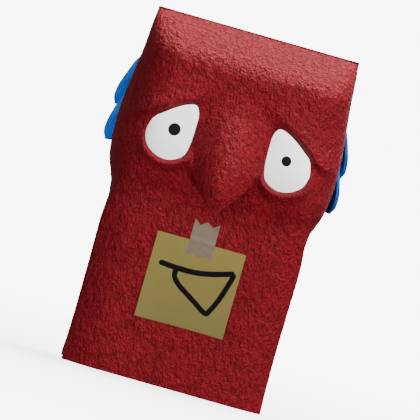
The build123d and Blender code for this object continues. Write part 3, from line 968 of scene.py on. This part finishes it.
def note_sheet(context):
    """The note, a thin sheet that hangs from the tape."""
    mouth = context.scene.puppet_mouth
    step = 0.9 * MM
    columns, rows = (evenly(note_low[axis], note_high[axis], step) for axis in (0, 2))
    x, height = grid_points(columns, rows)
    forward = note_depth(x, height, mouth.curl)
    sway = 0.25 * MM * np.sin(x / (13 * MM) + 1.0) * smooth(note_high[2] - height, 0, 30 * MM)
    points = np.c_[x, -forward, height + sway]
    olive = finish("Olive Note Paper", note_paper, tuple(mouth.note))
    note = new_object("note", points, grid_faces(len(rows), len(columns)), olive)
    thicken(note, note_high[1] - note_low[1], offset=1.0)
    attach(note, "mouth_flap")
    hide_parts("mouth_note")


# The drawn mouth, as shares of the note's width and height from its lower left corner.
LIP = [(0.1, 0.662), (0.25, 0.65), (0.42, 0.645), (0.56, 0.655), (0.7, 0.685), (0.84, 0.728), (0.935, 0.758)]
JAW = [
    (0.935, 0.758), (0.915, 0.67), (0.885, 0.56), (0.85, 0.44), (0.81, 0.34), (0.755, 0.225),
    (0.69, 0.255), (0.6, 0.32), (0.49, 0.39), (0.39, 0.455), (0.325, 0.515), (0.3, 0.565), (0.303, 0.64),
]


def stroke_path(shares, steps):
    """A pen stroke's points on the note, rounded a little at its corners."""
    wide, tall = note_high[0] - note_low[0], note_high[2] - note_low[2]
    line = np.array([(note_low[0] + a * wide, note_low[2] + b * tall) for a, b in shares])
    path = along_path(line, np.linspace(0, 1, steps))
    for _ in range(10):
        path[1:-1] = 0.5 * path[1:-1] + 0.25 * (path[2:] + path[:-2])
    return path


def ink_line(name, path, width, curl, ink, lift):
    """A marker line on the note: flat, with round ends and a slightly uneven width."""
    run = np.gradient(path, axis=0)
    run /= np.hypot(*run.T)[:, None]
    side = np.c_[-run[:, 1], run[:, 0]]
    steps = lengths_along(path)
    half = width / 2 * (1 + 0.07 * wander(steps / (5 * MM), lift * 9e3, 1.0))
    to_end = np.minimum(steps, steps[-1] - steps)
    cap = np.clip(to_end / (width / 2), 0, 1)
    half = half * np.sqrt(np.maximum(1 - (1 - cap) ** 2, 0.004))
    across = np.linspace(-1, 1, 7)
    reach = (half[:, None] * across[None, :])[..., None]
    flat = (path[:, None, :] + side[:, None, :] * reach).reshape(-1, 2)
    raised = lift * (1 - 0.6 * np.tile(across, len(path)) ** 2)
    front = note_depth(flat[:, 0], flat[:, 1], curl) + (note_high[1] - note_low[1])
    points = np.c_[flat[:, 0], -(front + raised), flat[:, 1]]
    faces = grid_faces(len(path), len(across), flip=True)
    line = new_object(name, points, faces, ink)
    with editing(line.data) as work:
        bmesh.ops.recalc_face_normals(work, faces=work.faces)
        if sum(f.normal.y for f in work.faces) > 0:
            bmesh.ops.reverse_faces(work, faces=work.faces)
    thicken(line, lift * 0.5)
    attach(line, "mouth_flap")


class PUPPET_OT_mouth(bpy.types.Operator):
    """Builds the note that is the mouth, with the line drawn on it"""

    bl_idname = "puppet.mouth"
    bl_label = "Mouth"

    def execute(self, context):
        mouth = context.scene.puppet_mouth
        tape_strip(context)
        note_sheet(context)
        ink = finish("Marker Ink", marker_ink, tuple(mouth.ink))
        ink_line("ink_lip", stroke_path(LIP, 120), mouth.stroke, mouth.curl, ink, 0.09 * MM)
        ink_line("ink_jaw", stroke_path(JAW, 220), 0.95 * mouth.stroke, mouth.curl, ink, 0.11 * MM)
        return {"FINISHED"}


def tape_strip(context):
    """The strip of tape: stuck to the bag above, bare at the hinge, and stuck to the note below."""
    mouth = context.scene.puppet_mouth
    top, bottom = tape_high[2], leaf_low[2]
    half = tape_high[0]
    columns = np.linspace(-half, half, 49)
    rows = np.linspace(0, 1, 64)
    x, share = grid_points(columns, rows)

    def teeth(count, depth, seed):
        """The torn zigzag of a cut end."""
        wave = (x / half + 1) / 2 * count
        saw = np.abs(2 * (wave % 1) - 1)
        return depth * (saw - 1) + 0.25 * depth * wander(wave, seed, 0.5)

    upper = top + teeth(2, 3.7 * MM, 2.0)
    lower = bottom - teeth(2, 2.8 * MM, 8.0)
    height = lower + (upper - lower) * share
    on_bag = -FRONT_SURFACE.at(x, height)[:, 1] + 0.12 * MM
    on_note = note_depth(x, np.minimum(height, note_high[2]), mouth.curl) + (note_high[1] - note_low[1])
    step_over = smooth(height, note_high[2] - 0.1 * MM, note_high[2] + 4 * MM)
    forward = on_note * (1 - step_over) + on_bag * step_over + 0.06 * MM
    wrinkle = 0.12 * MM * (1 + grain(np.c_[x * 0.5, height, 0 * x], 3.2 * MM, 4.0))
    lifted = 0.7 * MM * smooth(height, top - 7 * MM, top) * smooth(x / half, 0.1, 1.0)
    points = np.c_[x, -(forward + wrinkle + lifted), height]
    grey = finish("Masking Tape", tape_paper, tuple(mouth.tape))
    tape = new_object("tape", points, grid_faces(len(rows), len(columns)), grey)
    thicken(tape, tape_high[1] - tape_low[1], offset=1.0)
    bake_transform(tape)
    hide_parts("tape_on_bag", "tape_on_note")


# ---------------------------------------------------------------- hair
def lock_model(hair, material):
    """One curled lock that hangs from the origin along -Z and stands off along +Y."""
    rings, spokes = 30, 45
    points, along = [], []
    for k in range(rings):
        t = k / (rings - 1)
        girth = through(t, [(0, 0.18), (0.12, 0.5), (0.4, 0.84), (0.76, 1.0), (0.92, 0.9), (1.0, 0.66)])
        front = hair.bulge * through(t, [(0, 0.18), (0.15, 0.42), (0.5, 0.78), (0.82, 1.0), (1.0, 0.88)])
        back = hair.bulge * through(t, [(0, -0.04), (0.2, 0.0), (0.5, 0.2), (0.82, 0.42), (1.0, 0.5)])
        middle, thick = (front + back) / 2, (front - back) / 2
        drop = -hair.length * (t - 0.02 * math.sin(math.pi * t))
        for s in range(spokes):
            a = 2 * math.pi * s / spokes
            ridge = 1 - 0.07 * smooth(t, 0.05, 0.4) * (0.5 + 0.5 * math.cos(hair.ridges * a + 1.5 * t))
            wrap = -0.9 * MM * math.cos(a) ** 2 * girth
            x = 0.5 * hair.width * girth * math.cos(a) * ridge
            y = middle + thick * math.copysign(abs(math.sin(a)) ** 0.8, math.sin(a)) * ridge + wrap
            clip = 0.05 * hair.length * (1 - math.cos(2 * a)) * 0.5 * smooth(t, 0.8, 1.0)
            points.append((x, y, drop + clip))
            along.append(t)
    faces = grid_rings(rings, spokes)
    for end, order in ((0, 1), (rings - 1, -1)):
        ring = [end * spokes + s for s in range(spokes)]
        centre = np.mean([points[i] for i in ring], axis=0)
        points.append(tuple(centre - np.array([0, 0, 0.0 if end == 0 else 0.6 * MM])))
        along.append(end / (rings - 1))
        hub = len(points) - 1
        for s in range(spokes):
            pair = (ring[s], ring[(s + 1) % spokes])
            faces.append((hub, *pair) if order > 0 else (hub, *pair[::-1]))
    obj = new_object("lock_model", points, faces, material)
    layer = obj.data.attributes.new("along", "FLOAT", "POINT")
    layer.data.foreach_set("value", np.array(along, np.float32))
    with editing(obj.data) as work:
        bmesh.ops.recalc_face_normals(work, faces=work.faces)
    return obj


def grid_rings(rings, spokes):
    """Quads of a tube whose points are stored ring by ring."""
    faces = []
    for k in range(rings - 1):
        for s in range(spokes):
            t = (s + 1) % spokes
            faces.append((k * spokes + s, k * spokes + t, (k + 1) * spokes + t, (k + 1) * spokes + s))
    return faces


HEADINGS = (146, 103, 90, 90, 90, 77, 34)  # the way each lock of a row faces, in degrees
LOCK_SWAY = math.radians(9)  # the most that a lock hangs to one side


def lock_seats(hair):
    """(place, turn, size) of each lock, from the frame's locks: round the back of the head."""
    seats = []
    for node in HAIR:
        number = int(node[-1])
        low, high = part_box(node)
        top = high[2]
        heading = math.radians(HEADINGS[number - 1])
        half = through((top - 4.5 * MM) / MM, HALF_WIDTH) * MM
        if 3 <= number <= 5:
            x, y = (low[0] + high[0]) / 2, HALF_DEPTH
        else:
            x = math.copysign(FLAT_HALF + (half - FLAT_HALF) * abs(math.cos(heading)), math.cos(heading))
            y = HALF_DEPTH * math.sin(heading)
        stand = 0.8 * MM if number == 4 else 0.15 * MM
        place = (x + stand * math.cos(heading), y + stand * math.sin(heading), top)
        below = through((top - hair.length) / MM, HALF_WIDTH) * MM
        lean = 0
        if number in (1, 2, 6, 7):
            lean = math.atan2((below - half) * abs(math.cos(heading)), hair.length)
        turn = (Matrix.Rotation(heading - math.pi / 2, 3, "Z") @ Matrix.Rotation(lean, 3, "X")).to_euler()
        wobble = noise.noise(Vector((x / (20 * MM), top / (20 * MM), 3.0)))
        sway = noise.noise(Vector((x / (16 * MM), top / (16 * MM), 9.0)))
        turn = (turn.to_matrix() @ Matrix.Rotation(LOCK_SWAY * sway, 3, "Y")).to_euler()
        seats.append((place, turn, 1.01 + 0.1 * wobble))
    return seats


def lock_tree(material):
    """Geometry nodes: a lock on every seat, turned and sized by the seat's own values."""
    tree = bpy.data.node_groups.new("Hair Locks", "GeometryNodeTree")
    face = tree.interface
    face.new_socket("Geometry", in_out="INPUT", socket_type="NodeSocketGeometry")
    face.new_socket("Lock", in_out="INPUT", socket_type="NodeSocketObject")
    face.new_socket("Girth", in_out="INPUT", socket_type="NodeSocketFloat").default_value = 1.0
    face.new_socket("Geometry", in_out="OUTPUT", socket_type="NodeSocketGeometry")

    def add(kind, links=(), **settings):
        return add_node(tree, kind, links, **settings).outputs

    def value_of(name, data_type):
        return add("GeometryNodeInputNamedAttribute", {"Name": name}, data_type=data_type)["Attribute"]

    start = add("NodeGroupInput")
    lock = add("GeometryNodeObjectInfo", {"Object": start["Lock"]})["Geometry"]
    turn = add("FunctionNodeEulerToRotation", {0: value_of("turn", "FLOAT_VECTOR")})[0]
    size = add("ShaderNodeMath", {0: value_of("size", "FLOAT"), 1: start["Girth"]}, operation="MULTIPLY")[0]
    links = {"Points": start["Geometry"], "Instance": lock, "Rotation": turn, "Scale": size}
    spread = add("GeometryNodeInstanceOnPoints", links)[0]
    real = add("GeometryNodeRealizeInstances", {0: spread})[0]
    painted = add("GeometryNodeSetMaterial", {"Geometry": real, "Material": material})[0]
    add("NodeGroupOutput", {0: painted})
    return tree


class PUPPET_OT_hair(bpy.types.Operator):
    """Builds the curled locks glued round the back of the head"""

    bl_idname = "puppet.hair"
    bl_label = "Hair"

    def execute(self, context):
        hair = context.scene.puppet_hair
        blue = finish("Blue Hair", lock_foam, tuple(hair.top), tuple(hair.tip))
        model = lock_model(hair, blue)
        seats = lock_seats(hair)
        mesh = bpy.data.meshes.new("hair")
        mesh.from_pydata([seat[0] for seat in seats], [], [])
        turns = mesh.attributes.new("turn", "FLOAT_VECTOR", "POINT")
        turns.data.foreach_set("vector", [a for seat in seats for a in seat[1]])
        sizes = mesh.attributes.new("size", "FLOAT", "POINT")
        sizes.data.foreach_set("value", [seat[2] for seat in seats])
        obj = bpy.data.objects.new("hair", mesh)
        context.scene.collection.objects.link(obj)
        locks = obj.modifiers.new("Locks", "NODES")
        locks.node_group = lock_tree(blue)
        inputs = {item.name: item.identifier for item in locks.node_group.interface.items_tree
                  if item.in_out == "INPUT"}
        locks[inputs["Lock"]] = model
        locks[inputs["Girth"]] = 1.0
        apply_modifiers(obj)
        bpy.data.objects.remove(model)
        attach(obj, "head")
        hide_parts(*HAIR)
        return {"FINISHED"}


# ---------------------------------------------------------------- stage
# Each lamp's name, place, power, width, the height that it points at, and whether it casts shadows.
LAMPS = (
    ("Key", (0.6, -0.3, 2.5), 108.0, 0.7, 0.16, False),
    ("Side", (1.9, -2.0, 0.9), 120.0, 1.3, 0.13, False),
    ("Top", (0.35, 0.5, 2.4), 185.0, 0.7, 0.2, True),
    ("Fill", (-1.0, -2.3, 0.3), 50.0, 1.6, 0.13, True),
    ("Back", (0.5, 2.6, 0.8), 60.0, 1.8, 0.13, True),
)
STAGE_REACH = 6.0  # radius of the floor and of the backdrop
FLOOR_LEVEL = -0.0002  # just under the rim that the puppet stands on
SENSOR = 36.0


def add_lamp(name, place, power, width, aim, shadow):
    """A round area lamp that points at the middle of the puppet, at the height aim."""
    data = bpy.data.lights.new(name, "AREA")
    data.energy, data.shape, data.size, data.use_shadow = power, "DISK", width, shadow
    lamp = bpy.data.objects.new(name, data)
    lamp.location = place
    lamp.rotation_euler = (Vector((0, 0, aim)) - Vector(place)).to_track_quat("-Z", "Y").to_euler()
    bpy.context.scene.collection.objects.link(lamp)


class PUPPET_OT_stage(bpy.types.Operator):
    """Adds the floor, the backdrop, the lights and the camera"""

    bl_idname = "puppet.stage"
    bl_label = "Stage"

    def execute(self, context):
        scene, setup = context.scene, context.scene.puppet_stage
        target = Vector((-0.3 * MM, -18 * MM, 134.4 * MM))  # the middle of the view
        pale = tuple(setup.backdrop)

        world = bpy.data.worlds.new("Studio")
        world.use_nodes = True
        world.node_tree.nodes["Background"].inputs["Color"].default_value = (0.95, 0.97, 1.0, 1)
        world.node_tree.nodes["Background"].inputs["Strength"].default_value = 0.3
        scene.world = world

        n = Nodes("Pale Floor", Roughness=0.8, Specular_IOR_Level=0.0)
        n.shader.inputs["Base Color"].default_value = (*shade(pale, 0.9), 1)
        away = n.add("ShaderNodeVectorMath", {0: n.place}, operation="LENGTH").outputs["Value"]
        fade, glow = n.ramp(away, 0.1, 0.9, 0.35, 1.0), n.glow(pale, setup.glow)
        n.surface(n.add("ShaderNodeMixShader", {"Fac": fade, 1: n.shader.outputs[0], 2: glow}).outputs[0])
        ring = 96
        disc = [(0, 0, FLOOR_LEVEL)]
        for a in np.linspace(0, 2 * np.pi, ring + 1)[:-1]:
            disc.append((STAGE_REACH * math.cos(a), STAGE_REACH * math.sin(a), FLOOR_LEVEL))
        floor = new_object("floor", disc, [(0, 1 + i, 1 + (i + 1) % ring) for i in range(ring)], n.material)

        glow_only = Nodes("Pale Backdrop")
        glow_only.surface(glow_only.glow(pale, setup.glow))
        dome_mesh = bpy.data.meshes.new("backdrop")
        with editing(dome_mesh) as work:
            bmesh.ops.create_icosphere(work, subdivisions=4, radius=STAGE_REACH)
            bmesh.ops.reverse_faces(work, faces=work.faces)
        dome_mesh.materials.append(glow_only.material)
        dome = bpy.data.objects.new("backdrop", dome_mesh)
        scene.collection.objects.link(dome)
        for obj in (floor, dome):
            obj.visible_diffuse = obj.visible_glossy = obj.visible_transmission = obj.visible_shadow = False

        for lamp in LAMPS:
            add_lamp(*lamp)

        camera_data = bpy.data.cameras.new("Camera")
        camera_data.sensor_width = SENSOR
        camera_data.lens = SENSOR * setup.distance / setup.view_width
        camera_data.clip_end = 20
        camera = bpy.data.objects.new("Camera", camera_data)
        level = math.cos(setup.elevation)
        towards = Vector((
            math.sin(setup.azimuth) * level, -math.cos(setup.azimuth) * level, math.sin(setup.elevation)
        ))
        camera.location = target + setup.distance * towards
        facing = (-towards).to_track_quat("-Z", "Y").to_matrix()
        camera.rotation_euler = (facing @ Matrix.Rotation(setup.roll, 3, "Z")).to_euler()
        scene.collection.objects.link(camera)
        scene.camera = camera
        return {"FINISHED"}


# ---------------------------------------------------------------- panel
OPERATORS = (
    PUPPET_OT_face, PUPPET_OT_bag, PUPPET_OT_laps, PUPPET_OT_eyes, PUPPET_OT_mouth, PUPPET_OT_hair,
    PUPPET_OT_stage,
)
GROUPS = (
    ("puppet_bag", BagShape), ("puppet_face", FaceShape), ("puppet_mouth", MouthShape),
    ("puppet_hair", HairShape), ("puppet_stage", StageSetup),
)


class PUPPET_PT_panel(bpy.types.Panel):
    """Lists the pieces of the puppet"""

    bl_label = "Paper Bag Puppet"
    bl_idname = "PUPPET_PT_panel"
    bl_space_type = "VIEW_3D"
    bl_region_type = "UI"
    bl_category = "Puppet"

    def draw(self, context):
        for operator in OPERATORS:
            self.layout.operator(operator.bl_idname)


def register():
    for name, group in GROUPS:
        bpy.utils.register_class(group)
        setattr(bpy.types.Scene, name, PointerProperty(type=group))
    for item in (*OPERATORS, PUPPET_PT_panel):
        bpy.utils.register_class(item)


def unregister():
    for item in (PUPPET_PT_panel, *reversed(OPERATORS)):
        bpy.utils.unregister_class(item)
    for name, group in reversed(GROUPS):
        delattr(bpy.types.Scene, name)
        bpy.utils.unregister_class(group)


def main():
    register()
    for operator in OPERATORS:
        getattr(bpy.ops.puppet, operator.bl_idname.split(".")[1])()


if __name__ == "__main__":
    main()
